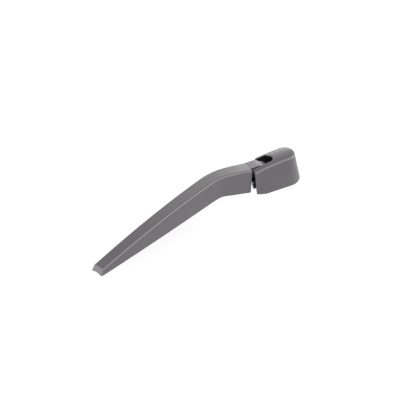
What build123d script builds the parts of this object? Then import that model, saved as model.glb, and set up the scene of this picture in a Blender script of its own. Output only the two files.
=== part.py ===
"""Rear wiper arm: sprung moulded arm, die-cast mounting head and flip-up head cover.

Millimetres, +Z up. The origin is on the spindle axis at the plane of the cover's lower edge.
The head's nose points to +X, the arm leaves towards -X and cranks towards -Y.
"""
import math
import os

from build123d import *

os.makedirs("parts", exist_ok=True)

# Clearances
PRESS_GAP = 0.01
RUNNING_GAP = 0.06
SIDE_GAP = 0.3
STOP_GAP = 0.15

# Hinge and spring geometry, in the plane y = 0
HINGE_X = -30.0
HINGE_Z = 21.0
HINGE_PIN_RADIUS = 2.0
POST_X = -33.5
POST_Z = 6.5
POST_RADIUS = 1.75
ANCHOR_X = -90.0
ANCHOR_Z = 22.0
ANCHOR_RADIUS = 1.75

# Head cover
HEAD_RADIUS = 18.0
COVER_DRAFT = 13.2
COVER_PLAN_TAPER = 1.7
COVER_WALL = 1.6
COVER_FRONT_X = -40.5
COVER_NOSE_X = 1.2
CROWN_TOP_Z = 32.1
CROWN_TOP_X = 2.0
CROWN_LENGTH_RADIUS = 220.0
CROWN_CROSS_RADIUS = 45.0
COVER_RIM_FILLET = 2.8
SKIRT_KINK_X = -30.0
SKIRT_RISE = 2.7
SLOT_WIDTH = 10.8
SLOT_END_X = -14.0
SLOT_WIDE_END_X = -18.0
PIVOT_BOSS_RADIUS = 4.0
PIVOT_SNAP_SHARE = 0.85
REST_RIB_WIDTH = 1.8
REST_RIB_DEPTH = 3.0

# Mounting head
HUB_BASE_RADIUS = 14.0
HUB_TOP_RADIUS = 11.6
HUB_BASE_Z = 0.0
HUB_TOP_Z = 13.0
SPINDLE_RADIUS = 5.1
SPINDLE_DEPTH = 8.0
STUD_RADIUS = 4.2
CHEEK_THICKNESS = 1.8
CHEEK_EYE_RADIUS = 3.2
CHEEK_BASE_Z = 2.4
CHEEK_FRONT_X = -39.8
CHEEK_TOE_RISE = 1.1
CHEEK_SHOULDER_Z = 12.4
FOOT_REACH = 1.5
FOOT_LOW_Z = 3.7
FOOT_TOP_Z = 6.5
FOOT_END_X = -20.0
STOP_WEB_TOP_Z = 16.0
PIN_END_LENGTH = 2.2

# Arm channel; stations are lengths along the arm from its hinge end
ARM_END_X = -42.6
ARM_END_TILT = 8.8
ARM_DRAFT = 12.0
ARM_WALL = 2.2
ARM_CORNER = 1.9
ARM_INNER_CORNER = 0.7
BEND_START = 27.2
BEND_RADIUS = 80.0
BEND_ANGLE = 19.2
ARM_LENGTH = 201.0
HINGE_TOP_Z = 29.3
CREST_TOP_Z = 33.6
CREST_STATION = 45.0
TIP_TOP_Z = 19.8
TOP_FALL_POWER = 1.9
HINGE_BOTTOM_Z = 4.4
LONG_BOTTOM_Z = 12.7
BOTTOM_LEVEL_STATION = 40.6
TIP_BOTTOM_Z = 13.6
HINGE_HALF_WIDTH = 7.4
TIP_HALF_WIDTH = 5.6
RIB_THICKNESS = 1.6
RIB_SPACING = 17.0
RIB_FIRST = 80.0
RIB_COUNT = 6
RIB_OPEN_SHARE = 0.4
BULKHEAD_X = -46.0
BULKHEAD_BOTTOM_Z = 18.0
LOFT_SECTIONS = 24
LOFT_OVERRUN = 8.0

# Hinge tongue of the arm
TONGUE_WIDTH = 8.2
TONGUE_TOP_Z = 29.2
TONGUE_CREST_X = -34.5
TONGUE_REAR_RADIUS = 9.6
TONGUE_REAR_ANGLE = 27.0
TONGUE_ROOT_X = -54.0
TONGUE_BOTTOM_Z = 18.0
KNUCKLE_RADIUS = 6.2
HEEL_X = -25.9
HEEL_BOTTOM_Z = 13.0
SHOULDER_SIDE = 7.0
SHOULDER_END_X = -28.5
SHOULDER_BOTTOM_Z = 26.0
BUSH_WALL = 1.1
BUSH_FLANGE_RADIUS = 4.2
BUSH_FLANGE_THICKNESS = 0.8
BUSH_PROUD = 0.12

# Tip
TIP_RAKE = 18.0
NOSE_LENGTH = 3.0
NOSE_DROP = 6.2
NOSE_INSET = 0.3
NOSE_WALL = 2.2
NOSE_ARCH_HALF = 4.0
NOSE_ARCH_RISE = 0.7
BLADE_PIN_RADIUS = 2.0
BLADE_PIN_SETBACK = 13.0
BLADE_PIN_Z = 16.6
PIN_POCKET_DEPTH = 1.2

# Spring, measured along its axis from the anchor pin
SPRING_RADIUS = 3.4
WIRE_RADIUS = 1.1
COIL_START = 7.5
COIL_LENGTH = 26.0
COIL_TURNS = 8
WIRE_SIDES = 6
PLUG_LENGTH = 7.0
EYE_RADIUS = 3.6
EYE_WIDTH = 4.4
HOOK_INNER_RADIUS = 3.4
HOOK_OUTER_RADIUS = 5.2
HOOK_WIDTH = 3.0
HOOK_ROD_RADIUS = 1.5
HOOK_MOUTH_START = 200.0
HOOK_MOUTH_END = 262.0

# Worked-out sizes
CHEEK_INNER = TONGUE_WIDTH / 2 + BUSH_PROUD + SIDE_GAP
CHEEK_OUTER = CHEEK_INNER + CHEEK_THICKNESS
PIN_HALF_LENGTH = CHEEK_OUTER + PIN_END_LENGTH
FOOT_OUTER = CHEEK_OUTER + FOOT_REACH
DRAFT_SLOPE = math.tan(math.radians(ARM_DRAFT))
WALL_ACROSS = ARM_WALL / math.cos(math.radians(ARM_DRAFT))
BEND_LENGTH = BEND_RADIUS * math.radians(BEND_ANGLE)
BEND_END = BEND_START + BEND_LENGTH
SPRING_LINE = Vector(POST_X - ANCHOR_X, 0, POST_Z - ANCHOR_Z)
SPRING_AXIS = SPRING_LINE.normalized()
HOOK_STANDOFF = HOOK_INNER_RADIUS - POST_RADIUS - STOP_GAP
PLUG_RADIUS = SPRING_RADIUS - WIRE_RADIUS - STOP_GAP
BIG = 200.0


def cross_bar(radius, x, z, low_y, high_y):
    """Round bar along Y between two sides."""
    bar = Cylinder(radius, high_y - low_y, rotation=(90, 0, 0))
    return Pos(x, (low_y + high_y) / 2, z) * bar


def slab(low_x, high_x, low_y, high_y, low_z, high_z):
    """Box between six coordinates."""
    box = Box(high_x - low_x, high_y - low_y, high_z - low_z)
    return Pos((low_x + high_x) / 2, (low_y + high_y) / 2, (low_z + high_z) / 2) * box


def side_plate(face, half_width):
    """Flat XZ outline, thickened evenly to both sides of y = 0."""
    return extrude(Plane.XZ * face, half_width, both=True)


def cover_block(inset):
    """Drafted round-nosed block, a little narrower towards the arm, under the crowned top."""
    radius = HEAD_RADIUS - inset / math.cos(math.radians(COVER_DRAFT))
    reach = 2 * abs(COVER_FRONT_X)
    lean = math.radians(COVER_PLAN_TAPER)
    shoulder = Vector(COVER_NOSE_X - radius * math.sin(lean), radius * math.cos(lean))
    rear = shoulder - Vector(reach * math.cos(lean), reach * math.sin(lean))
    sides = Polyline(
        (shoulder.X, shoulder.Y),
        (rear.X, rear.Y),
        (rear.X, -rear.Y),
        (shoulder.X, -shoulder.Y),
        close=True,
    )
    plan = Pos(COVER_NOSE_X, 0) * Circle(radius) + make_face(sides)
    block = extrude(plan, CROWN_TOP_Z + 1, taper=COVER_DRAFT)
    axis_z = CROWN_TOP_Z - CROWN_CROSS_RADIUS
    crown_centre = (CROWN_TOP_X, CROWN_TOP_Z - CROWN_LENGTH_RADIUS)
    crown_radius = CROWN_LENGTH_RADIUS - inset
    half = math.sqrt(crown_radius**2 - (axis_z - crown_centre[1]) ** 2)
    start = (CROWN_TOP_X - half, axis_z)
    end = (CROWN_TOP_X + half, axis_z)
    arc = ThreePointArc(start, (CROWN_TOP_X, CROWN_TOP_Z - inset), end)
    lens = make_face(arc + Line(end, start))
    barrel = revolve(Plane.XZ * lens, Axis((0, 0, axis_z), (1, 0, 0)))
    lower = slab(-BIG, BIG, -BIG, BIG, -BIG, axis_z)
    return block & (barrel + lower)


def head_cover():
    """Hollow cap, open below and towards the arm, with pivot bosses inside."""
    outer = cover_block(0)
    upper = [edge for edge in outer.edges() if edge.center().Z > HINGE_Z]
    rim = [edge for edge in upper if edge.bounding_box().max.X > COVER_FRONT_X]
    outer = fillet(rim, COVER_RIM_FILLET)
    shell = outer - cover_block(COVER_WALL)

    boss_inner = CHEEK_OUTER + SIDE_GAP
    for side in (-1, 1):
        ends = sorted((side * boss_inner, side * HEAD_RADIUS))
        shell += cross_bar(PIVOT_BOSS_RADIUS, HINGE_X, HINGE_Z, *ends) & outer

    rib_reach = slab(
        HUB_TOP_RADIUS - REST_RIB_DEPTH,
        COVER_NOSE_X + HEAD_RADIUS,
        -REST_RIB_WIDTH / 2,
        REST_RIB_WIDTH / 2,
        HUB_TOP_Z + STOP_GAP,
        CROWN_TOP_Z,
    )
    shell += rib_reach & cover_block(COVER_WALL / 2)

    bore_half = PIN_HALF_LENGTH + SIDE_GAP
    bore = cross_bar(HINGE_PIN_RADIUS + RUNNING_GAP, HINGE_X, HINGE_Z, -bore_half, bore_half)
    snap_half = PIVOT_SNAP_SHARE * HINGE_PIN_RADIUS
    snap = slab(HINGE_X - snap_half, HINGE_X + snap_half, -bore_half, bore_half, 0, HINGE_Z)
    shell -= bore
    shell -= snap

    slot_half = SLOT_WIDTH / 2
    slot_run = SLOT_END_X - slot_half - 2 * COVER_FRONT_X
    slot_centre = SLOT_END_X - slot_half - slot_run / 2
    slot_plan = Pos(slot_centre, 0) * Rectangle(slot_run, SLOT_WIDTH)
    slot_plan += Pos(SLOT_END_X - slot_half, 0) * Circle(slot_half)
    far_side = SHOULDER_SIDE + 2 * SIDE_GAP
    widening = Polyline(
        (2 * COVER_FRONT_X, 0),
        (2 * COVER_FRONT_X, far_side),
        (SLOT_WIDE_END_X, far_side),
        (SLOT_END_X - slot_half / 2, slot_half * math.sqrt(3) / 2),
        (SLOT_END_X - slot_half, 0),
        close=True,
    )
    slot_plan += make_face(widening)
    shell -= Pos(0, 0, HINGE_Z) * extrude(slot_plan, BIG)

    shell -= slab(-BIG, SHOULDER_END_X + 2 * SIDE_GAP, 0, BIG, SHOULDER_BOTTOM_Z - SIDE_GAP, BIG)
    shell -= slab(-BIG, COVER_FRONT_X, -BIG, BIG, -BIG, BIG)
    kink = Polyline((SKIRT_KINK_X, 0), (COVER_FRONT_X, SKIRT_RISE), (COVER_FRONT_X, 0), close=True)
    shell -= side_plate(make_face(kink), BIG)
    return shell


def mounting_head():
    """Die-cast hub on the spindle with two footed hinge cheeks and the arm's stop web."""
    hub_height = HUB_TOP_Z - HUB_BASE_Z
    hub = Pos(0, 0, HUB_BASE_Z + hub_height / 2) * Cone(HUB_BASE_RADIUS, HUB_TOP_RADIUS, hub_height)
    eye_left = HINGE_X - CHEEK_EYE_RADIUS
    outline = Polyline(
        (0, CHEEK_BASE_Z),
        (CHEEK_FRONT_X + CHEEK_TOE_RISE, CHEEK_BASE_Z),
        (CHEEK_FRONT_X, CHEEK_BASE_Z + CHEEK_TOE_RISE),
        (CHEEK_FRONT_X, CHEEK_SHOULDER_Z),
        (eye_left, HINGE_Z),
        (HINGE_X, HINGE_Z + CHEEK_EYE_RADIUS),
        (-HUB_TOP_RADIUS, HUB_TOP_Z),
        (0, HUB_TOP_Z),
        close=True,
    )
    cheek_face = make_face(outline) + Pos(HINGE_X, HINGE_Z) * Circle(CHEEK_EYE_RADIUS)
    body = side_plate(cheek_face, CHEEK_OUTER)
    body += slab(CHEEK_FRONT_X, FOOT_END_X, -FOOT_OUTER, FOOT_OUTER, FOOT_LOW_Z, FOOT_TOP_Z)
    stop_x = HEEL_X + STOP_GAP
    body -= slab(-BIG, stop_x, -CHEEK_INNER, CHEEK_INNER, -BIG, BIG)
    body -= slab(-BIG, -HUB_TOP_RADIUS, -CHEEK_INNER, CHEEK_INNER, STOP_WEB_TOP_Z, BIG)
    body += hub
    body -= slab(-BIG, BIG, -BIG, BIG, HUB_TOP_Z, BIG) & Cylinder(HUB_TOP_RADIUS, BIG)

    spindle = Pos(0, 0, HUB_BASE_Z + SPINDLE_DEPTH / 2) * Cylinder(SPINDLE_RADIUS, SPINDLE_DEPTH)
    body -= spindle
    body -= Cylinder(STUD_RADIUS, BIG)
    body -= cross_bar(HINGE_PIN_RADIUS + PRESS_GAP, HINGE_X, HINGE_Z, -BIG, BIG)
    body -= cross_bar(POST_RADIUS + PRESS_GAP, POST_X, POST_Z, -BIG, BIG)
    return body


def arm_place(station):
    """Centre in plan and heading angle at a length along the arm."""
    bend_x = ARM_END_X - BEND_START
    if station <= BEND_START:
        return ARM_END_X - station, 0.0, 0.0
    turn = min((station - BEND_START) / BEND_RADIUS, math.radians(BEND_ANGLE))
    beyond = max(station - BEND_END, 0.0)
    x = bend_x - BEND_RADIUS * math.sin(turn) - beyond * math.cos(turn)
    y = -BEND_RADIUS * (1 - math.cos(turn)) - beyond * math.sin(turn)
    return x, y, turn


def station_over(x):
    """Length along the arm at which its centre reaches an x, in the bend or beyond."""
    sine = (ARM_END_X - BEND_START - x) / BEND_RADIUS
    last_sine = math.sin(math.radians(BEND_ANGLE))
    turn = math.asin(min(sine, last_sine))
    beyond = max(sine - last_sine, 0.0) * BEND_RADIUS / math.cos(turn)
    return BEND_START + BEND_RADIUS * turn + beyond


def arm_plane(station):
    """Upright plane across the arm: local x to the arm's left, local y up."""
    x, y, turn = arm_place(station)
    return Plane(
        origin=(x, y, 0),
        x_dir=(math.sin(turn), -math.cos(turn), 0),
        z_dir=(-math.cos(turn), -math.sin(turn), 0),
    )


def arm_top(station):
    """Height of the top: it rises to the crest and then falls in a long arch."""
    if station < CREST_STATION:
        share = (CREST_STATION - station) / CREST_STATION
        return CREST_TOP_Z - (CREST_TOP_Z - HINGE_TOP_Z) * share**2
    share = (station - CREST_STATION) / (ARM_LENGTH - CREST_STATION)
    return CREST_TOP_Z - (CREST_TOP_Z - TIP_TOP_Z) * share**TOP_FALL_POWER


def arm_bottom(station):
    """Height of the lower edges: they rise from the hinge and then run almost level."""
    if station < BOTTOM_LEVEL_STATION:
        share = 1 - station / BOTTOM_LEVEL_STATION
        return LONG_BOTTOM_Z - (LONG_BOTTOM_Z - HINGE_BOTTOM_Z) * share
    share = (station - BOTTOM_LEVEL_STATION) / (ARM_LENGTH - BOTTOM_LEVEL_STATION)
    return LONG_BOTTOM_Z + (TIP_BOTTOM_Z - LONG_BOTTOM_Z) * share


def arm_half_width(station):
    """Half the width of the flat top."""
    share = station / ARM_LENGTH
    return HINGE_HALF_WIDTH - (HINGE_HALF_WIDTH - TIP_HALF_WIDTH) * share


def channel_section(station, inset, corner, low_z=None):
    """Drafted section with rounded upper corners, drawn in by an inset."""
    top = arm_top(station) - inset
    low = arm_bottom(station) if low_z is None else low_z
    inset_across = inset / math.cos(math.radians(ARM_DRAFT))
    top_half = arm_half_width(station) + DRAFT_SLOPE * inset - inset_across
    low_half = top_half + DRAFT_SLOPE * (top - low)
    corners = [(-low_half, low), (low_half, low), (top_half, top), (-top_half, top)]
    face = make_face(Polyline(*corners, close=True))
    face = fillet(face.vertices().group_by(Axis.Y)[-1], corner)
    return arm_plane(station) * face


def channel_loft(start, end, inset, corner, drop=0.0):
    """Smooth body through sections along the arm."""
    step = (end - start) / (LOFT_SECTIONS - 1)
    stations = [start + index * step for index in range(LOFT_SECTIONS)]
    return loft([channel_section(s, inset, corner, arm_bottom(s) - drop) for s in stations])


def tongue():
    """Hinge tongue: web from the arm's top, knuckle round the pin, stop heel and side shoulder."""
    root_top = arm_top(ARM_END_X - TONGUE_ROOT_X) - ARM_WALL / 2
    rear = math.radians(TONGUE_REAR_ANGLE)
    rear_top = (
        HINGE_X + TONGUE_REAR_RADIUS * math.cos(rear),
        HINGE_Z + TONGUE_REAR_RADIUS * math.sin(rear),
    )
    rear_low = (HINGE_X + KNUCKLE_RADIUS, HINGE_Z)
    crest = (TONGUE_CREST_X, TONGUE_TOP_Z)
    end_top = (ARM_END_X, HINGE_TOP_Z - PRESS_GAP)
    outline = Line((TONGUE_ROOT_X, root_top), end_top)
    outline += Line(end_top, crest)
    outline += TangentArc(crest, rear_top, tangent=(1, 0))
    outline += Line(rear_top, rear_low)
    outline += Polyline(
        rear_low,
        (HEEL_X, STOP_WEB_TOP_Z),
        (HEEL_X, HEEL_BOTTOM_Z),
        (POST_X, HEEL_BOTTOM_Z),
        (ARM_END_X, TONGUE_BOTTOM_Z),
        (TONGUE_ROOT_X, TONGUE_BOTTOM_Z),
        (TONGUE_ROOT_X, root_top),
    )
    face = make_face(outline) + Pos(HINGE_X, HINGE_Z) * Circle(KNUCKLE_RADIUS)
    shoulder = slab(ARM_END_X - ARM_WALL, SHOULDER_END_X, 0, SHOULDER_SIDE, SHOULDER_BOTTOM_Z, BIG)
    shoulder &= side_plate(face, SHOULDER_SIDE)
    return side_plate(face, TONGUE_WIDTH / 2) + shoulder


def tip_frame(station):
    """Place along the arm with local x onward, local y to the right and z up."""
    x, y, turn = arm_place(station)
    return Location((x, y, 0), (0, 0, 180 + math.degrees(turn)))


def arm():
    """Moulded channel with ribs, hinge tongue, pin pockets and bevelled tip."""
    start = -LOFT_OVERRUN
    outer = channel_loft(start, ARM_LENGTH + LOFT_OVERRUN, 0, ARM_CORNER)
    inner = channel_loft(start - ARM_WALL, ARM_LENGTH - NOSE_WALL, ARM_WALL, ARM_INNER_CORNER, ARM_WALL)
    core = channel_loft(start, ARM_LENGTH, ARM_WALL / 2, ARM_INNER_CORNER)
    rake = math.radians(TIP_RAKE)
    raked = Plane(origin=(0, 0, TIP_TOP_Z), x_dir=(0, 1, 0), z_dir=(math.cos(rake), 0, math.sin(rake)))
    body = outer - inner - tip_frame(ARM_LENGTH) * extrude(raked * Rectangle(BIG, BIG), BIG)

    for index in range(RIB_COUNT):
        station = RIB_FIRST + index * RIB_SPACING
        low = arm_bottom(station) + RIB_OPEN_SHARE * (arm_top(station) - arm_bottom(station))
        rib = channel_section(station, ARM_WALL / 2, ARM_INNER_CORNER, low)
        body += extrude(rib, RIB_THICKNESS)

    bulkhead = slab(BULKHEAD_X - ARM_WALL, BULKHEAD_X, -BIG, BIG, BULKHEAD_BOTTOM_Z, BIG)
    body += bulkhead & core

    nose_low = TIP_TOP_Z - NOSE_DROP
    nose_face = make_face(
        Polyline(
            (-NOSE_WALL, nose_low),
            (-NOSE_WALL, TIP_TOP_Z),
            (0, TIP_TOP_Z),
            (NOSE_LENGTH, nose_low),
            close=True,
        )
    )
    nose_section = channel_section(ARM_LENGTH - NOSE_WALL, NOSE_INSET, ARM_INNER_CORNER, nose_low)
    nose = extrude(nose_section, NOSE_WALL + NOSE_LENGTH)
    nose &= tip_frame(ARM_LENGTH) * side_plate(nose_face, BIG)
    arch = Pos(0, 0, TIP_BOTTOM_Z) * scale(
        Cylinder(1, 4 * NOSE_LENGTH, rotation=(0, 90, 0)),
        (1, NOSE_ARCH_HALF, NOSE_ARCH_RISE + nose_low - TIP_BOTTOM_Z),
    )
    body += nose
    body -= tip_frame(ARM_LENGTH) * arch

    tilt = Plane(
        origin=(ARM_END_X, 0, HINGE_TOP_Z),
        x_dir=(0, 1, 0),
        z_dir=(math.cos(math.radians(ARM_END_TILT)), 0, -math.sin(math.radians(ARM_END_TILT))),
    )
    body -= extrude(tilt * Rectangle(BIG, BIG), BIG)

    body += tongue()
    body -= cross_bar(HINGE_PIN_RADIUS + RUNNING_GAP + BUSH_WALL + PRESS_GAP, HINGE_X, HINGE_Z, -BIG, BIG)
    recess = TONGUE_WIDTH / 2 + BUSH_PROUD - BUSH_FLANGE_THICKNESS
    for side in (-1, 1):
        ends = sorted((side * recess, side * TONGUE_WIDTH))
        body -= cross_bar(BUSH_FLANGE_RADIUS + PRESS_GAP, HINGE_X, HINGE_Z, *ends)

    body -= anchor_pin(PRESS_GAP)
    body -= blade_pin(PRESS_GAP)
    return body


def pocket_half(station, z):
    """Half-length of a cross pin that ends in pockets in both walls."""
    inner = arm_half_width(station) + DRAFT_SLOPE * (arm_top(station) - z) - WALL_ACROSS
    return inner + PIN_POCKET_DEPTH


def anchor_pin(gap=0.0):
    """Cross pin for the front spring end, let into the walls."""
    station = station_over(ANCHOR_X)
    _, centre_y, turn = arm_place(station)
    half = pocket_half(station, ANCHOR_Z) / math.cos(turn) + gap
    return cross_bar(ANCHOR_RADIUS + gap, ANCHOR_X, ANCHOR_Z, centre_y - half, centre_y + half)


def blade_pin(gap=0.0):
    """Cross pin for the blade, let into the walls near the tip."""
    station = ARM_LENGTH - BLADE_PIN_SETBACK
    half = pocket_half(station, BLADE_PIN_Z) + gap
    return tip_frame(station) * cross_bar(BLADE_PIN_RADIUS + gap, 0, BLADE_PIN_Z, -half, half)


def hinge_bush(side):
    """Flanged bush pressed into one side of the tongue."""
    outer_face = TONGUE_WIDTH / 2 + BUSH_PROUD
    bore = HINGE_PIN_RADIUS + RUNNING_GAP
    sleeve_ends = sorted((side * STOP_GAP, side * outer_face))
    flange_ends = sorted((side * (outer_face - BUSH_FLANGE_THICKNESS), side * outer_face))
    bush = cross_bar(bore + BUSH_WALL, HINGE_X, HINGE_Z, *sleeve_ends)
    bush += cross_bar(BUSH_FLANGE_RADIUS, HINGE_X, HINGE_Z, *flange_ends)
    return bush - cross_bar(bore, HINGE_X, HINGE_Z, -BIG, BIG)


def spring_place(distance):
    """Place on the spring's axis with local z towards the post."""
    point = Vector(ANCHOR_X, 0, ANCHOR_Z) + SPRING_AXIS * distance
    return Plane(origin=point, x_dir=(0, 1, 0), z_dir=SPRING_AXIS).location


def axial_rod(radius, start, end):
    """Round rod along the spring's axis."""
    return spring_place((start + end) / 2) * Cylinder(radius, end - start)


def tension_spring():
    """Coil of many-sided wire round the two plugs."""
    path = Helix(COIL_LENGTH / COIL_TURNS, COIL_LENGTH, SPRING_RADIUS)
    section = Plane(origin=path @ 0, z_dir=path % 0) * RegularPolygon(WIRE_RADIUS, WIRE_SIDES)
    return spring_place(COIL_START) * sweep(section, path, is_frenet=True)


def spring_eye():
    """Front spring end: eye on the anchor pin and a plug in the coil."""
    eye = cross_bar(EYE_RADIUS, ANCHOR_X, ANCHOR_Z, -EYE_WIDTH / 2, EYE_WIDTH / 2)
    eye += axial_rod(PLUG_RADIUS, 0, COIL_START + PLUG_LENGTH)
    return eye - cross_bar(ANCHOR_RADIUS + RUNNING_GAP, ANCHOR_X, ANCHOR_Z, -BIG, BIG)


def spring_hook():
    """Rear spring end: plug in the coil, rod and open hook round the post."""
    coil_end = COIL_START + COIL_LENGTH
    centre_distance = SPRING_LINE.length - HOOK_STANDOFF
    ring_face = Circle(HOOK_OUTER_RADIUS) - Circle(HOOK_INNER_RADIUS)
    start = math.radians(HOOK_MOUTH_START)
    end = math.radians(HOOK_MOUTH_END)
    reach = 2 * HOOK_OUTER_RADIUS
    mouth = Polyline(
        (0, 0),
        (reach * math.cos(start), reach * math.sin(start)),
        (reach * math.cos(end), reach * math.sin(end)),
        close=True,
    )
    hook_face = ring_face - make_face(mouth)
    hook = extrude(hook_face, HOOK_WIDTH / 2, both=True)
    centre = Vector(ANCHOR_X, 0, ANCHOR_Z) + SPRING_AXIS * centre_distance
    hook_plane = Plane(origin=centre, x_dir=SPRING_AXIS, z_dir=(0, -1, 0))
    rod = axial_rod(HOOK_ROD_RADIUS, coil_end, centre_distance - HOOK_INNER_RADIUS - HOOK_ROD_RADIUS / 2)
    plug = axial_rod(PLUG_RADIUS, coil_end - PLUG_LENGTH, coil_end + WIRE_RADIUS)
    return hook_plane.location * hook + rod + plug


PIECES = {
    "mounting_head": mounting_head(),
    "head_cover": head_cover(),
    "hinge_pin": cross_bar(HINGE_PIN_RADIUS, HINGE_X, HINGE_Z, -PIN_HALF_LENGTH, PIN_HALF_LENGTH),
    "spring_post": cross_bar(POST_RADIUS, POST_X, POST_Z, -FOOT_OUTER, FOOT_OUTER),
    "arm": arm(),
    "hinge_bush_left": hinge_bush(-1),
    "hinge_bush_right": hinge_bush(1),
    "anchor_pin": anchor_pin(),
    "blade_pin": blade_pin(),
    "spring_eye": spring_eye(),
    "tension_spring": tension_spring(),
    "spring_hook": spring_hook(),
}

for name, piece in PIECES.items():
    export_step(piece, f"parts/{name}.step")
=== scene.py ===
import math

import bpy
from mathutils import Matrix, Vector


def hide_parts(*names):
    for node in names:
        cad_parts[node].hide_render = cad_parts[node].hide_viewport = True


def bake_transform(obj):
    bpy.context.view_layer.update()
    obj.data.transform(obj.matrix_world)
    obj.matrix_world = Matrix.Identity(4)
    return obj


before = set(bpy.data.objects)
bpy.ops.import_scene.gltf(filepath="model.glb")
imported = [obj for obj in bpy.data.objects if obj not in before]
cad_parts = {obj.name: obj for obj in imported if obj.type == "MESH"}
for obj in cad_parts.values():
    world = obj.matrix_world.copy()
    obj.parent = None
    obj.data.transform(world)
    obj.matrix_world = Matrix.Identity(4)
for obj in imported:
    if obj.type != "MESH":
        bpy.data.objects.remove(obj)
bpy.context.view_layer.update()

bl_info = {
    "name": "Rear wiper arm",
    "version": (1, 0, 0),
    "blender": (4, 5, 0),
    "location": "View3D > Sidebar > Wiper",
    "description": "Finishes the wiper arm's solids, winds its spring and sets the studio",
    "category": "Object",
}

ARM_NODES = ("arm",)
CAP_NODES = ("head_cover",)
CAST_NODES = ("mounting_head",)
PIN_NODES = ("hinge_pin", "spring_post", "anchor_pin", "blade_pin")
BUSH_NODES = ("hinge_bush_left", "hinge_bush_right")
SPRING_NODES = ("spring_eye", "spring_hook", "tension_spring")

# Noises: bumps per metre and detail.
# The first two break up the painted highlights; the third smears the painted shade.
EDGE_PATCHES = (160.0, 4.0)
ROUND_PATCHES = (120.0, 3.0)
SHADE_SMEAR = (90.0, 3.0)
TONE_SPECK = (420.0, 3.0)
FLOOR_MOTTLE = (6.0, 2.0)

# Painted highlight on the plastic's sharp edges, and wear on the metal's: share of rays into
# the solid that stay free, from sharp to flat, rays that are counted, the weakest patch, the
# strength of the painted highlight on plastic and the width on metal.
EDGE_FREEDOM = (0.965, 1.0)
EDGE_RAYS = 32
EDGE_WEAKEST = 0.7
PLASTIC_EDGE_HIGHLIGHT = 0.6
METAL_EDGE_WIDTH = 0.0003

# Painted highlight on rounded shoulders: how far a normal points up where they leave the
# drafted walls and where they reach the crowned tops, and the weakest patch.
WALL_RISE = (0.26, 0.46)
TOP_RISE = (0.74, 0.92)
ROUND_WEAKEST = 0.75

# Painted highlight on the tongue's top: where it starts and is full along the arm, and how
# strong it is.
TONGUE_RUN = (-0.0435, -0.0395)
TONGUE_HIGHLIGHT = 0.45

# Painted shade in the hollows: share of rays that stay free, from deep to open, rays that are
# counted, how far they reach, how much the smear shifts them, how much rougher the hollows are,
# and what the painted shade leaves of a metal's colour.
HOLLOW_FREEDOM = (0.34, 0.78)
HOLLOW_RAYS = 12
ARM_SHADE_REACH = 0.014
CAP_SHADE_REACH = 0.03
METAL_SHADE_REACH = 0.03
SMEAR_SHARE = 0.16
HOLLOW_DULLING = 0.6
METAL_SHADE_SHARE = 0.02

# Grain and cloudy tone: details of the noises, clouds per metre, shares of pits, cloud and
# speck, and strengths of the bump.
GRAIN_DETAIL = 2.0
CLOUD_DETAIL = 5.0
PLASTIC_CLOUDS = 35.0
METAL_CLOUDS = 120.0
PIT_SHARE = 0.6
CLOUD_SHARE = 0.65
SPECK_SHARE = 0.35
PLASTIC_BUMP = 0.4
METAL_BUMP = 0.5

# Shares of a colour in its darkest and palest clouds and on rubbed metal, and how far the
# clouds change the plastic's roughness.
PLASTIC_TONES = (0.66, 1.34)
METAL_TONES = (0.78, 1.2)
METAL_RUB_SHARE = 1.5
SATIN_SPREAD = (-0.05, 0.06)

# Metal finishes: range of roughness, spacing and height of the grain.
METAL_FINISHES = {
    "cast_head": ((0.45, 0.65), 0.0009, 0.00008),
    "drawn_steel": ((0.22, 0.38), 0.0004, 0.00001),
    "turned_bush": ((0.25, 0.42), 0.0004, 0.00001),
    "plated_spring": ((0.28, 0.45), 0.0005, 0.00002),
}

# Steps in one turn of the coil, and sides of its round wire.
COIL_STEPS = 40
WIRE_SIDES = 16

# Soft boxes: place, point that each one faces, width and height, and the name of its power.
SOFT_BOXES = {
    "back_strip": ((0.45, 0.80, 0.40), (-0.07, 0.0, 0.03), (0.55, 0.16), "back_power"),
    "rim_strip": ((0.42, -0.37, 0.79), (-0.10, -0.01, 0.03), (0.45, 0.18), "rim_power"),
    "side_box": ((0.85, -0.35, 0.30), (-0.09, -0.01, 0.03), (0.40, 0.40), "side_power"),
    "tip_box": ((-1.20, 0.155, 0.13), (-0.24, -0.055, 0.017), (0.25, 0.25), "tip_power"),
    "front_box": ((-0.45, -0.45, 0.45), (-0.19, -0.04, 0.017), (0.30, 0.30), "front_power"),
    "level_box": ((0.18, 0.62, 0.72), (-0.13, -0.02, 0.03), (0.30, 0.30), "level_power"),
}

# Floor: reach, sides, roughness, tone of its darker mottle, and the distances over which
# its lift to white grows.
FLOOR_REACH = 6.0
FLOOR_SIDES = 96
FLOOR_ROUGHNESS = 0.9
FLOOR_DIM = 0.985
FLOOR_LIFT_RUN = (0.35, 1.4)

# Width of the camera's sensor in millimetres.
SENSOR_WIDTH = 36.0

WHITE = (1.0, 1.0, 1.0, 1.0)

# Sockets of a Mix node that mixes colours.
MIX_FACTOR, MIX_FIRST, MIX_SECOND, MIX_RESULT = 0, 6, 7, 2


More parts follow.
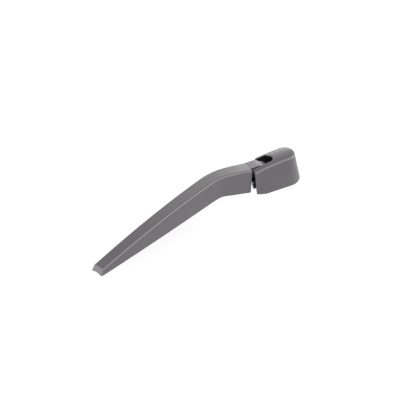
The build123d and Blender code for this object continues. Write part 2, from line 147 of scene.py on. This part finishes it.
class WiperPlasticSizes(bpy.types.PropertyGroup):
    """Moulded plastic of the arm and its cap."""

    colour: bpy.props.FloatVectorProperty(
        name="Colour",
        description="Through-dyed colour of the plastic",
        subtype="COLOR",
        default=(0.121, 0.114, 0.1205),
        min=0.0,
        max=1.0,
    )
    # Painted highlight: paler colour on the plastic's edges, shoulders and tongue, for the
    # light they catch.
    painted_highlight_colour: bpy.props.FloatVectorProperty(
        name="Wear colour",
        description="Paler colour on rubbed edges",
        subtype="COLOR",
        default=(0.275, 0.264, 0.275),
        min=0.0,
        max=1.0,
    )
    # Painted shade: near-black colour in slots and hollows, where shade falls.
    painted_shade_colour: bpy.props.FloatVectorProperty(
        name="Grime colour",
        description="Dark grime deep in slots and hollows",
        subtype="COLOR",
        default=(0.006, 0.006, 0.006),
        min=0.0,
        max=1.0,
    )
    roughness: bpy.props.FloatProperty(
        name="Roughness",
        description="Satin of the moulded skin",
        subtype="FACTOR",
        default=0.34,
        min=0.0,
        max=1.0,
    )
    grain_size: bpy.props.FloatProperty(
        name="Grain size",
        description="Spacing of the fine etched grain",
        subtype="DISTANCE",
        default=0.0007,
    )
    grain_depth: bpy.props.FloatProperty(
        name="Grain depth",
        description="Height of the grain",
        subtype="DISTANCE",
        default=0.00003,
    )
    # Width of the painted highlight along the plastic's sharp edges.
    edge_radius: bpy.props.FloatProperty(
        name="Worn edge width",
        description="Reach of the rub from a sharp edge, less than the skin over the pins",
        subtype="DISTANCE",
        default=0.0003,
    )


class WiperMetalSizes(bpy.types.PropertyGroup):
    """Metals inside the cap and the channel."""

    cast_colour: bpy.props.FloatVectorProperty(
        name="Cast colour",
        description="Colour of the die-cast mounting head",
        subtype="COLOR",
        default=(0.25, 0.25, 0.255),
        min=0.0,
        max=1.0,
    )
    steel_colour: bpy.props.FloatVectorProperty(
        name="Steel colour",
        description="Colour of the drawn pins",
        subtype="COLOR",
        default=(0.52, 0.52, 0.53),
        min=0.0,
        max=1.0,
    )
    bush_colour: bpy.props.FloatVectorProperty(
        name="Bush colour",
        description="Colour of the turned bushes",
        subtype="COLOR",
        default=(0.56, 0.42, 0.21),
        min=0.0,
        max=1.0,
    )
    spring_colour: bpy.props.FloatVectorProperty(
        name="Spring colour",
        description="Colour of the plated spring and its ends",
        subtype="COLOR",
        default=(0.36, 0.36, 0.37),
        min=0.0,
        max=1.0,
    )


class WiperSpringSizes(bpy.types.PropertyGroup):
    """Tension spring between the arm and the mounting head."""

    anchor: bpy.props.FloatVectorProperty(
        name="Anchor",
        description="Centre of the anchor pin, where the spring's axis starts",
        subtype="XYZ",
        unit="LENGTH",
        default=(-0.090, 0.0, 0.022),
    )
    post: bpy.props.FloatVectorProperty(
        name="Post",
        description="Centre of the post that the spring's axis points at",
        subtype="XYZ",
        unit="LENGTH",
        default=(-0.0335, 0.0, 0.0065),
    )
    start: bpy.props.FloatProperty(
        name="Coil start",
        description="Distance of the first turn from the anchor",
        subtype="DISTANCE",
        default=0.0075,
    )
    length: bpy.props.FloatProperty(
        name="Coil length",
        description="Length of the wound part",
        subtype="DISTANCE",
        default=0.026,
    )
    radius: bpy.props.FloatProperty(
        name="Coil radius",
        description="Radius to the middle of the wire",
        subtype="DISTANCE",
        default=0.0034,
    )
    wire: bpy.props.FloatProperty(
        name="Wire radius",
        description="Radius of the round wire",
        subtype="DISTANCE",
        default=0.0011,
    )
    turns: bpy.props.FloatProperty(
        name="Turns",
        description="Turns of the coil",
        default=8.0,
    )
    neck_start: bpy.props.FloatProperty(
        name="Neck start",
        description="Share of the wire after which the turns grow smaller towards the hook",
        subtype="FACTOR",
        default=0.42,
        min=0.0,
        max=1.0,
    )
    neck_end: bpy.props.FloatProperty(
        name="Neck end",
        description="Share of the wire after which the turns are smallest",
        subtype="FACTOR",
        default=0.70,
        min=0.0,
        max=1.0,
    )
    neck_share: bpy.props.FloatProperty(
        name="Neck size",
        description="Share of the coil's radius in the turns that pass under the tongue",
        subtype="FACTOR",
        default=0.54,
        min=0.0,
        max=1.0,
    )


class WiperStageSizes(bpy.types.PropertyGroup):
    """Camera, lights and floor."""

    azimuth: bpy.props.FloatProperty(
        name="Azimuth",
        description="Turn of the camera round the spindle axis",
        subtype="ANGLE",
        default=math.radians(-28.781),
    )
    elevation: bpy.props.FloatProperty(
        name="Elevation",
        description="Height of the camera above the horizon",
        subtype="ANGLE",
        default=math.radians(39.93),
    )
    roll: bpy.props.FloatProperty(
        name="Roll",
        description="Turn of the camera about its own line of sight",
        subtype="ANGLE",
        default=math.radians(-0.259),
    )
    distance: bpy.props.FloatProperty(
        name="Distance",
        description="Distance of the camera from the origin along its line of sight",
        subtype="DISTANCE",
        default=1.0,
    )
    aside: bpy.props.FloatProperty(
        name="Aside",
        description="Place of the origin to the right of the line of sight",
        subtype="DISTANCE",
        default=0.07908,
    )
    above: bpy.props.FloatProperty(
        name="Above",
        description="Place of the origin above the line of sight",
        subtype="DISTANCE",
        default=0.03365,
    )
    lens: bpy.props.FloatProperty(
        name="Lens",
        description="Focal length on a 36 mm sensor, in millimetres",
        subtype="DISTANCE_CAMERA",
        default=81.0,
    )
    floor_height: bpy.props.FloatProperty(
        name="Floor height",
        description="Height of the floor under the part",
        subtype="DISTANCE",
        default=-0.06,
    )
    floor_colour: bpy.props.FloatVectorProperty(
        name="Floor colour",
        description="Colour of the floor",
        subtype="COLOR",
        default=(0.95, 0.95, 0.95),
        min=0.0,
        max=1.0,
    )
    floor_lift: bpy.props.FloatProperty(
        name="Floor lift",
        description="White added to the floor where it is looked at, to read as plain white",
        default=0.27,
    )
    floor_far_lift: bpy.props.FloatProperty(
        name="Far floor lift",
        description="White added to the floor far from the part, so that no horizon shows",
        default=0.54,
    )
    world_strength: bpy.props.FloatProperty(
        name="Surround",
        description="Strength of the even white surround",
        default=0.5,
    )
    back_power: bpy.props.FloatProperty(
        name="Back light",
        description="Power of the low strip behind the head",
        subtype="POWER",
        default=2.3,
    )
    rim_power: bpy.props.FloatProperty(
        name="Rim light",
        description="Power of the high strip that draws the rounded edges",
        subtype="POWER",
        default=0.9,
    )
    side_power: bpy.props.FloatProperty(
        name="Side light",
        description="Power of the soft box beyond the cap's nose",
        subtype="POWER",
        default=4.0,
    )
    tip_power: bpy.props.FloatProperty(
        name="Tip light",
        description="Power of the soft box beyond the arm's tip",
        subtype="POWER",
        default=1.0,
    )
    front_power: bpy.props.FloatProperty(
        name="Front light",
        description="Power of the soft box in front of the long arm",
        subtype="POWER",
        default=1.1,
    )
    level_power: bpy.props.FloatProperty(
        name="Level light",
        description="Power of the soft box that the level tops reflect",
        subtype="POWER",
        default=0.36,
    )


def new_group(name, vectors, values, outputs):
    """Shader group with vector inputs, value inputs with their defaults, and value outputs."""
    tree = bpy.data.node_groups.new(name, "ShaderNodeTree")
    add = tree.interface.new_socket
    for label in vectors:
        add(name=label, in_out="INPUT", socket_type="NodeSocketVector")
    for label, default in values.items():
        add(name=label, in_out="INPUT", socket_type="NodeSocketFloat").default_value = default
    for label in outputs:
        add(name=label, in_out="OUTPUT", socket_type="NodeSocketFloat")
    return tree, tree.nodes.new("NodeGroupInput"), tree.nodes.new("NodeGroupOutput")


def toned(colour, share):
    """Colour made darker or paler by a share, at most white."""
    return tuple(min(share * channel, 1.0) for channel in colour)


def value_node(tree, operation, *inputs, clamp=False):
    """Math node fed by sockets or plain numbers."""
    node = tree.nodes.new("ShaderNodeMath")
    node.operation = operation
    node.use_clamp = clamp
    for index, item in enumerate(inputs):
        if isinstance(item, bpy.types.NodeSocket):
            tree.links.new(item, node.inputs[index])
        else:
            node.inputs[index].default_value = item
    return node.outputs[0]


def mix_colour(tree, factor, first, second):
    """Mix of two colours, given as sockets or values, by a factor's socket."""
    node = tree.nodes.new("ShaderNodeMix")
    node.data_type = "RGBA"
    for index, item in ((MIX_FACTOR, factor), (MIX_FIRST, first), (MIX_SECOND, second)):
        socket = node.inputs[index]
        if isinstance(item, bpy.types.NodeSocket):
            tree.links.new(item, socket)
        else:
            socket.default_value = (*item, 1.0)
    return node.outputs[MIX_RESULT]


def surface_range(tree, value, low, high, source=(0.0, 1.0)):
    """Value from a source range spread between two limits."""
    node = tree.nodes.new("ShaderNodeMapRange")
    tree.links.new(value, node.inputs["Value"])
    node.inputs["From Min"].default_value, node.inputs["From Max"].default_value = source
    node.inputs["To Min"].default_value = low
    node.inputs["To Max"].default_value = high
    return node.outputs["Result"]


def noise(tree, coordinates, scale, detail):
    """Noise over the given coordinates; scale is a socket or a number of bumps per metre."""
    node = tree.nodes.new("ShaderNodeTexNoise")
    tree.links.new(coordinates, node.inputs["Vector"])
    if isinstance(scale, bpy.types.NodeSocket):
        tree.links.new(scale, node.inputs["Scale"])
    else:
        node.inputs["Scale"].default_value = scale
    node.inputs["Detail"].default_value = detail
    return node.outputs["Fac"]


def part_of(tree, vector, axis):
    """One component of a vector."""
    split = tree.nodes.new("ShaderNodeSeparateXYZ")
    tree.links.new(vector, split.inputs["Vector"])
    return split.outputs[axis]


def occlusion(tree, distance, inside):
    """How free a point is within a distance, outwards or into the solid."""
    node = tree.nodes.new("ShaderNodeAmbientOcclusion")
    node.inside = inside
    node.only_local = inside
    node.samples = EDGE_RAYS if inside else HOLLOW_RAYS
    tree.links.new(distance, node.inputs["Distance"])
    return node.outputs["AO"]


def edge_wear_and_highlight_group():
    """Mask of convex edges with patchy noise: painted highlight on plastic, wear on metal."""
    values = {"Radius": METAL_EDGE_WIDTH, "Amount": 1.0}
    tree, enter, leave = new_group("edge_wear", ("Vector",), values, ("Mask",))
    thin = occlusion(tree, enter.outputs["Radius"], inside=True)
    sharp = surface_range(tree, thin, 1.0, 0.0, EDGE_FREEDOM)
    spots = noise(tree, enter.outputs["Vector"], *EDGE_PATCHES)
    patches = surface_range(tree, spots, EDGE_WEAKEST, 1.0)
    broken = value_node(tree, "MULTIPLY", sharp, patches)
    mask = value_node(tree, "MULTIPLY", broken, enter.outputs["Amount"], clamp=True)
    tree.links.new(mask, leave.inputs["Mask"])
    return tree


def deep_shade_group():
    """Painted shade in slots and hollows: Open is 1 in the open and 0 deep inside.

    The mask input keeps parts free of the painted shade, and Dull is what the shade adds to
    roughness.
    """
    values = {"Reach": METAL_SHADE_REACH, "Clean": 0.0}
    tree, enter, leave = new_group("deep_shade", ("Vector",), values, ("Open", "Dull"))
    free = occlusion(tree, enter.outputs["Reach"], inside=False)
    smear = noise(tree, enter.outputs["Vector"], *SHADE_SMEAR)
    shifted = value_node(tree, "MULTIPLY_ADD", smear, SMEAR_SHARE, free)
    bare = surface_range(tree, shifted, 0.0, 1.0, HOLLOW_FREEDOM)
    openness = value_node(tree, "MAXIMUM", bare, enter.outputs["Clean"])
    dull = value_node(tree, "MULTIPLY_ADD", openness, -HOLLOW_DULLING, HOLLOW_DULLING)
    tree.links.new(openness, leave.inputs["Open"])
    tree.links.new(dull, leave.inputs["Dull"])
    return tree


def highlighted_rounds_group():
    """Mask of rounded shoulders between a level top and a steep wall, for a painted highlight.

    Top is a mask of the level tops themselves.
    """
    tree, enter, leave = new_group("rubbed_rounds", ("Vector", "Normal"), {}, ("Mask", "Top"))
    rise = part_of(tree, enter.outputs["Normal"], "Z")
    off_wall = surface_range(tree, rise, 0.0, 1.0, WALL_RISE)
    top = surface_range(tree, rise, 0.0, 1.0, TOP_RISE)
    off_top = value_node(tree, "SUBTRACT", 1.0, top)
    spots = noise(tree, enter.outputs["Vector"], *ROUND_PATCHES)
    patches = surface_range(tree, spots, ROUND_WEAKEST, 1.0)
    band = value_node(tree, "MULTIPLY", off_wall, off_top)
    mask = value_node(tree, "MULTIPLY", band, patches)
    tree.links.new(mask, leave.inputs["Mask"])
    tree.links.new(top, leave.inputs["Top"])
    return tree


def surface_grain_group():
    """Fine grain for height, cloudy tone for colour and roughness."""
    values = {"Grain": 1.0, "Cloud": 1.0}
    tree, enter, leave = new_group("surface_grain", ("Vector",), values, ("Height", "Tone"))
    fine = noise(tree, enter.outputs["Vector"], enter.outputs["Grain"], GRAIN_DETAIL)
    cells = tree.nodes.new("ShaderNodeTexVoronoi")
    tree.links.new(enter.outputs["Vector"], cells.inputs["Vector"])
    tree.links.new(enter.outputs["Grain"], cells.inputs["Scale"])
    pits = value_node(tree, "MULTIPLY", cells.outputs["Distance"], PIT_SHARE)
    height = value_node(tree, "ADD", fine, pits)
    cloud = noise(tree, enter.outputs["Vector"], enter.outputs["Cloud"], CLOUD_DETAIL)
    speck = noise(tree, enter.outputs["Vector"], *TONE_SPECK)
    share = value_node(tree, "MULTIPLY", speck, SPECK_SHARE)
    tone = value_node(tree, "MULTIPLY_ADD", cloud, CLOUD_SHARE, share)
    tree.links.new(height, leave.inputs["Height"])
    tree.links.new(tone, leave.inputs["Tone"])
    return tree


def shared_group(name, maker):
    """The named node group, built the first time."""
    return bpy.data.node_groups.get(name) or maker()


def place_group(tree, name, maker, coordinates):
    """Group node fed with the object's own coordinates."""
    node = tree.nodes.new("ShaderNodeGroup")
    node.node_tree = shared_group(name, maker)
    tree.links.new(coordinates, node.inputs["Vector"])
    return node


def new_material(name):
    """Empty node material with its Principled shader and object coordinates."""
    material = bpy.data.materials.new(name)
    material.use_nodes = True
    tree = material.node_tree
    shader = tree.nodes["Principled BSDF"]
    coordinates = tree.nodes.new("ShaderNodeTexCoord").outputs["Object"]
    return material, tree, shader, coordinates


def add_bump(tree, shader, height, distance, strength):
    """Bump from a height into the shader's normal."""
    bump = tree.nodes.new("ShaderNodeBump")
    bump.inputs["Strength"].default_value = strength
    bump.inputs["Distance"].default_value = distance
    tree.links.new(height, bump.inputs["Height"])
    tree.links.new(bump.outputs["Normal"], shader.inputs["Normal"])


def highlighted_tongue(tree, top, coordinates):
    """Mask of the tongue's top, for a painted highlight and to keep painted shade off it."""
    inward = surface_range(tree, part_of(tree, coordinates, "X"), 0.0, 1.0, TONGUE_RUN)
    return value_node(tree, "MULTIPLY", top, inward)


def moulded_plastic(name, sizes, shade_reach, has_tongue):
    """Satin moulded plastic with etched grain, cloudy tone, painted highlights and painted
    shade.
    """
    material, tree, shader, coordinates = new_material(name)
    grain = place_group(tree, "surface_grain", surface_grain_group, coordinates)
    grain.inputs["Grain"].default_value = 1.0 / sizes.grain_size
    grain.inputs["Cloud"].default_value = PLASTIC_CLOUDS
    wear_and_highlight = place_group(tree, "edge_wear", edge_wear_and_highlight_group, coordinates)
    wear_and_highlight.inputs["Radius"].default_value = sizes.edge_radius
    wear_and_highlight.inputs["Amount"].default_value = PLASTIC_EDGE_HIGHLIGHT
    rounds = place_group(tree, "rubbed_rounds", highlighted_rounds_group, coordinates)
    tree.links.new(coordinates.node.outputs["Normal"], rounds.inputs["Normal"])
    # Painted highlight: sharp edges and rounded shoulders made paler, for the light they catch.
    painted_highlight = value_node(tree, "MAXIMUM", wear_and_highlight.outputs["Mask"], rounds.outputs["Mask"])
    # Painted shade: near black in slots and hollows where fewer rays get out.
    shade = place_group(tree, "deep_shade", deep_shade_group, coordinates)
    shade.inputs["Reach"].default_value = shade_reach
    # The tongue's top gets a painted highlight and is kept free of painted shade.
    if has_tongue:
        tongue = highlighted_tongue(tree, rounds.outputs["Top"], coordinates)
        tongue_highlight = value_node(tree, "MULTIPLY", tongue, TONGUE_HIGHLIGHT)
        painted_highlight = value_node(tree, "MAXIMUM", painted_highlight, tongue_highlight)
        tree.links.new(tongue, shade.inputs["Clean"])
    dark, pale = (toned(sizes.colour, share) for share in PLASTIC_TONES)
    cloudy = mix_colour(tree, grain.outputs["Tone"], dark, pale)
    worn_and_highlighted = mix_colour(tree, painted_highlight, cloudy, sizes.painted_highlight_colour)
    with_painted_shade = mix_colour(tree, shade.outputs["Open"], sizes.painted_shade_colour, worn_and_highlighted)
    tree.links.new(with_painted_shade, shader.inputs["Base Color"])
    smoother, rougher = (sizes.roughness + change for change in SATIN_SPREAD)
    satin = surface_range(tree, grain.outputs["Tone"], smoother, rougher)
    dulled = value_node(tree, "ADD", satin, shade.outputs["Dull"], clamp=True)
    tree.links.new(dulled, shader.inputs["Roughness"])
    add_bump(tree, shader, grain.outputs["Height"], sizes.grain_depth, PLASTIC_BUMP)
    return material


def metal(name, colour):
    """Metal with a fine grain, cloudy roughness, bright worn edges and painted shade in
    hollows.
    """
    roughness, grain_size, grain_depth = METAL_FINISHES[name]
    material, tree, shader, coordinates = new_material(name)
    shader.inputs["Metallic"].default_value = 1.0
    grain = place_group(tree, "surface_grain", surface_grain_group, coordinates)
    grain.inputs["Grain"].default_value = 1.0 / grain_size
    grain.inputs["Cloud"].default_value = METAL_CLOUDS
    wear_and_highlight = place_group(tree, "edge_wear", edge_wear_and_highlight_group, coordinates)
    wear_and_highlight.inputs["Radius"].default_value = METAL_EDGE_WIDTH
    dark, pale = (toned(colour, share) for share in METAL_TONES)
    cloudy = mix_colour(tree, grain.outputs["Tone"], dark, pale)
    worn_and_highlighted = mix_colour(tree, wear_and_highlight.outputs["Mask"], cloudy, toned(colour, METAL_RUB_SHARE))
    # Painted shade: near black in hollows where fewer rays get out.
    shade = place_group(tree, "deep_shade", deep_shade_group, coordinates)
    shade.inputs["Reach"].default_value = METAL_SHADE_REACH
    deep = toned(colour, METAL_SHADE_SHARE)
    with_painted_shade = mix_colour(tree, shade.outputs["Open"], deep, worn_and_highlighted)
    tree.links.new(with_painted_shade, shader.inputs["Base Color"])
    sheen = surface_range(tree, grain.outputs["Tone"], *roughness)
    dulled = value_node(tree, "ADD", sheen, shade.outputs["Dull"], clamp=True)
    tree.links.new(dulled, shader.inputs["Roughness"])
    add_bump(tree, shader, grain.outputs["Height"], grain_depth, METAL_BUMP)
    return material


def dress(names, material):
    """Puts one material on the named solids."""
    for name in names:
        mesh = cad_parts[name].data
        mesh.materials.clear()
        mesh.materials.append(material)


class WIPER_OT_plastic(bpy.types.Operator):
    """Gives the arm and its cap their moulded plastic"""

    bl_idname = "wiper.plastic"
    bl_label = "Moulded plastic"

    def execute(self, context):
        sizes = context.scene.wiper_plastic
        arm_plastic = moulded_plastic("arm_plastic", sizes, ARM_SHADE_REACH, has_tongue=True)
        cap_plastic = moulded_plastic("cap_plastic", sizes, CAP_SHADE_REACH, has_tongue=False)
        dress(ARM_NODES, arm_plastic)
        dress(CAP_NODES, cap_plastic)
        return {"FINISHED"}


class WIPER_OT_metal(bpy.types.Operator):
    """Gives the head, the pins, the bushes and the spring their metals"""

    bl_idname = "wiper.metal"
    bl_label = "Metal pieces"

    def execute(self, context):
        sizes = context.scene.wiper_metal
        dress(CAST_NODES, metal("cast_head", sizes.cast_colour))
        dress(PIN_NODES, metal("drawn_steel", sizes.steel_colour))
        dress(BUSH_NODES, metal("turned_bush", sizes.bush_colour))
        dress(SPRING_NODES, metal("plated_spring", sizes.spring_colour))
        return {"FINISHED"}


def coil_tree(material):
    """Geometry nodes that wind a round wire along +Z, in smaller turns towards its end."""
    tree = bpy.data.node_groups.new("wound_coil", "GeometryNodeTree")
    add = tree.interface.new_socket
    add(name="Geometry", in_out="INPUT", socket_type="NodeSocketGeometry")
    for name in ("Radius", "Wire", "Length", "Turns", "Neck Start", "Neck End", "Neck Share"):
        add(name=name, in_out="INPUT", socket_type="NodeSocketFloat")
    add(name="Geometry", in_out="OUTPUT", socket_type="NodeSocketGeometry")
    enter = tree.nodes.new("NodeGroupInput")
    leave = tree.nodes.new("NodeGroupOutput")
    spiral = tree.nodes.new("GeometryNodeCurveSpiral")
    spiral.inputs["Resolution"].default_value = COIL_STEPS
    tree.links.new(enter.outputs["Turns"], spiral.inputs["Rotations"])
    tree.links.new(enter.outputs["Radius"], spiral.inputs["Start Radius"])
    tree.links.new(enter.outputs["Radius"], spiral.inputs["End Radius"])
    tree.links.new(enter.outputs["Length"], spiral.inputs["Height"])
    along = tree.nodes.new("GeometryNodeSplineParameter")
    share = tree.nodes.new("ShaderNodeMapRange")
    share.interpolation_type = "SMOOTHSTEP"
    tree.links.new(along.outputs["Factor"], share.inputs["Value"])
    tree.links.new(enter.outputs["Neck Start"], share.inputs["From Min"])
    tree.links.new(enter.outputs["Neck End"], share.inputs["From Max"])
    share.inputs["To Min"].default_value = 1.0
    tree.links.new(enter.outputs["Neck Share"], share.inputs["To Max"])
    scale = tree.nodes.new("ShaderNodeCombineXYZ")
    tree.links.new(share.outputs["Result"], scale.inputs["X"])
    tree.links.new(share.outputs["Result"], scale.inputs["Y"])
    scale.inputs["Z"].default_value = 1.0
    wound = tree.nodes.new("GeometryNodeInputPosition")
    place = tree.nodes.new("ShaderNodeVectorMath")
    place.operation = "MULTIPLY"
    tree.links.new(wound.outputs["Position"], place.inputs[0])
    tree.links.new(scale.outputs["Vector"], place.inputs[1])
    necked = tree.nodes.new("GeometryNodeSetPosition")
    tree.links.new(spiral.outputs["Curve"], necked.inputs["Geometry"])
    tree.links.new(place.outputs["Vector"], necked.inputs["Position"])
    section = tree.nodes.new("GeometryNodeCurvePrimitiveCircle")
    section.inputs["Resolution"].default_value = WIRE_SIDES
    tree.links.new(enter.outputs["Wire"], section.inputs["Radius"])
    wire = tree.nodes.new("GeometryNodeCurveToMesh")
    wire.inputs["Fill Caps"].default_value = True
    tree.links.new(necked.outputs["Geometry"], wire.inputs["Curve"])
    tree.links.new(section.outputs["Curve"], wire.inputs["Profile Curve"])
    smooth = tree.nodes.new("GeometryNodeSetShadeSmooth")
    tree.links.new(wire.outputs["Mesh"], smooth.inputs["Geometry"])
    realize = tree.nodes.new("GeometryNodeRealizeInstances")
    tree.links.new(smooth.outputs["Geometry"], realize.inputs["Geometry"])
    finish = tree.nodes.new("GeometryNodeSetMaterial")
    finish.inputs["Material"].default_value = material
    tree.links.new(realize.outputs["Geometry"], finish.inputs["Geometry"])
    tree.links.new(finish.outputs["Geometry"], leave.inputs["Geometry"])
    return tree


def grown_mesh(name, tree, values):
    """Plain mesh grown by a node tree whose inputs are set by their identifiers."""
    seed = bpy.data.objects.new(name + "_seed", bpy.data.meshes.new(name + "_seed"))
    bpy.context.scene.collection.objects.link(seed)
    modifier = seed.modifiers.new("grow", "NODES")
    modifier.node_group = tree
    for item in tree.interface.items_tree:
        if item.in_out == "INPUT" and item.name in values:
            modifier[item.identifier] = values[item.name]
    graph = bpy.context.evaluated_depsgraph_get()
    mesh = bpy.data.meshes.new_from_object(seed.evaluated_get(graph))
    mesh.name = name
    bpy.data.objects.remove(seed)
    return mesh


class WIPER_OT_spring(bpy.types.Operator):
    """Winds the tension spring in round wire between its two ends"""

    bl_idname = "wiper.spring"
    bl_label = "Tension spring"

    def execute(self, context):
        sizes = context.scene.wiper_spring
        anchor = Vector(sizes.anchor)
        along = (Vector(sizes.post) - anchor).normalized()
        wound = sizes.length - sizes.wire
        values = {
            "Radius": sizes.radius,
            "Wire": sizes.wire,
            "Length": wound,
            "Turns": sizes.turns,
            "Neck Start": sizes.neck_start,
            "Neck End": sizes.neck_end,
            "Neck Share": sizes.neck_share,
        }
        tree = coil_tree(bpy.data.materials["plated_spring"])
        mesh = grown_mesh("round_coil", tree, values)
        across = Vector((0.0, 1.0, 0.0))
        turn = Matrix((across, along.cross(across), along)).transposed().to_4x4()
        start = anchor + along * sizes.start
        mesh.transform(Matrix.Translation(start) @ turn)
        coil = bpy.data.objects.new("round_coil", mesh)
        context.scene.collection.objects.link(coil)
        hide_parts("tension_spring")
        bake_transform(coil)
        return {"FINISHED"}


def soft_box(name, place, target, spread, power):
    """Rectangular area light that faces a point."""
    data = bpy.data.lights.new(name, "AREA")
    data.shape = "RECTANGLE"
    data.size, data.size_y = spread
    data.energy = power
    lamp = bpy.data.objects.new(name, data)
    lamp.location = place
    lamp.rotation_euler = (Vector(target) - Vector(place)).to_track_quat("-Z", "Y").to_euler()
    bpy.context.scene.collection.objects.link(lamp)


def looked_at(tree):
    """1 for rays from the camera, also by way of gloss or glass, and 0 for rays of light."""
    path = tree.nodes.new("ShaderNodeLightPath").outputs
    seen = value_node(tree, "ADD", path["Is Camera Ray"], path["Is Glossy Ray"])
    return value_node(tree, "ADD", seen, path["Is Transmission Ray"], clamp=True)


def floor_material(colour, lift, far_lift):
    """Pale matt floor with a faint mottle, lifted to white where it is looked at."""
    material, tree, shader, coordinates = new_material("pale_floor")
    mottle = noise(tree, coordinates, *FLOOR_MOTTLE)
    mottled = mix_colour(tree, mottle, toned(colour, FLOOR_DIM), colour)
    tree.links.new(mottled, shader.inputs["Base Color"])
    shader.inputs["Roughness"].default_value = FLOOR_ROUGHNESS
    shader.inputs["Specular IOR Level"].default_value = 0.0
    shader.inputs["Emission Color"].default_value = WHITE
    away = tree.nodes.new("ShaderNodeVectorMath")
    away.operation = "LENGTH"
    tree.links.new(coordinates, away.inputs[0])
    raised = surface_range(tree, away.outputs["Value"], lift, far_lift, FLOOR_LIFT_RUN)
    glow = value_node(tree, "MULTIPLY", looked_at(tree), raised)
    tree.links.new(glow, shader.inputs["Emission Strength"])
    return material


class WIPER_OT_stage(bpy.types.Operator):
    """Sets the camera, the floor, the even surround and the soft boxes"""

    bl_idname = "wiper.stage"
    bl_label = "Studio"

    def execute(self, context):
        sizes = context.scene.wiper_stage
        scene = context.scene
        scene.view_settings.view_transform = "Standard"
        self.add_camera(scene, sizes)
        self.add_floor(scene, sizes)
        self.add_surround(scene, sizes)
        for name, (place, target, spread, power) in SOFT_BOXES.items():
            soft_box(name, place, target, spread, getattr(sizes, power))
        return {"FINISHED"}

    def add_camera(self, scene, sizes):
        """Camera on the photograph's line of sight."""
        turn, rise = sizes.azimuth, sizes.elevation
        level = math.cos(rise)
        back = Vector((math.sin(turn) * level, -math.cos(turn) * level, math.sin(rise)))
        right = Vector((math.cos(turn), math.sin(turn), 0.0))
        up = back.cross(right)
        rolled_right = right * math.cos(sizes.roll) + up * math.sin(sizes.roll)
        rolled_up = up * math.cos(sizes.roll) - right * math.sin(sizes.roll)
        data = bpy.data.cameras.new("camera")
        data.lens = sizes.lens
        data.sensor_width = SENSOR_WIDTH
        camera = bpy.data.objects.new("camera", data)
        place = back * sizes.distance - rolled_right * sizes.aside - rolled_up * sizes.above
        turned = Matrix((rolled_right, rolled_up, back)).transposed().to_4x4()
        camera.matrix_world = Matrix.Translation(place) @ turned
        scene.collection.objects.link(camera)
        scene.camera = camera

    def add_floor(self, scene, sizes):
        """Wide round floor under the part."""
        mesh = bpy.data.meshes.new("floor")
        turns = [math.tau * step / FLOOR_SIDES for step in range(FLOOR_SIDES)]
        ring = [
            (FLOOR_REACH * math.cos(turn), FLOOR_REACH * math.sin(turn), sizes.floor_height)
            for turn in turns
        ]
        mesh.from_pydata(ring, [], [tuple(range(FLOOR_SIDES))])
        colour = tuple(sizes.floor_colour)
        mesh.materials.append(floor_material(colour, sizes.floor_lift, sizes.floor_far_lift))
        floor = bpy.data.objects.new("floor", mesh)
        scene.collection.objects.link(floor)

    def add_surround(self, scene, sizes):
        """Even white light from all round, and plain white where it is looked at."""
        world = bpy.data.worlds.new("surround")
        world.use_nodes = True
        tree = world.node_tree
        light = tree.nodes["Background"]
        light.inputs["Color"].default_value = WHITE
        light.inputs["Strength"].default_value = sizes.world_strength
        white = tree.nodes.new("ShaderNodeBackground")
        white.inputs["Color"].default_value = WHITE
        mix = tree.nodes.new("ShaderNodeMixShader")
        tree.links.new(looked_at(tree), mix.inputs["Fac"])
        tree.links.new(light.outputs["Background"], mix.inputs[1])
        tree.links.new(white.outputs["Background"], mix.inputs[2])
        tree.links.new(mix.outputs["Shader"], tree.nodes["World Output"].inputs["Surface"])
        scene.world = world


class WIPER_PT_sidebar(bpy.types.Panel):
    """Lists the wiper arm's pieces and their sizes"""

    bl_idname = "WIPER_PT_sidebar"
    bl_label = "Rear wiper arm"
    bl_space_type = "VIEW_3D"
    bl_region_type = "UI"
    bl_category = "Wiper"

    def draw(self, context):
        for operator, owner in STEPS:
            box = self.layout.box()
            box.operator(operator)
            sizes = getattr(context.scene, owner)
            for name in sizes.__annotations__:
                box.prop(sizes, name)


STEPS = (
    ("wiper.plastic", "wiper_plastic"),
    ("wiper.metal", "wiper_metal"),
    ("wiper.spring", "wiper_spring"),
    ("wiper.stage", "wiper_stage"),
)

SIZES = {
    "wiper_plastic": WiperPlasticSizes,
    "wiper_metal": WiperMetalSizes,
    "wiper_spring": WiperSpringSizes,
    "wiper_stage": WiperStageSizes,
}

CLASSES = (
    *SIZES.values(),
    WIPER_OT_plastic,
    WIPER_OT_metal,
    WIPER_OT_spring,
    WIPER_OT_stage,
    WIPER_PT_sidebar,
)


def register():
    for item in CLASSES:
        bpy.utils.register_class(item)
    for owner, kind in SIZES.items():
        setattr(bpy.types.Scene, owner, bpy.props.PointerProperty(type=kind))


def unregister():
    for owner in SIZES:
        delattr(bpy.types.Scene, owner)
    for item in reversed(CLASSES):
        bpy.utils.unregister_class(item)


def main():
    register()
    bpy.ops.wiper.plastic()
    bpy.ops.wiper.metal()
    bpy.ops.wiper.spring()
    bpy.ops.wiper.stage()


if __name__ == "__main__":
    main()
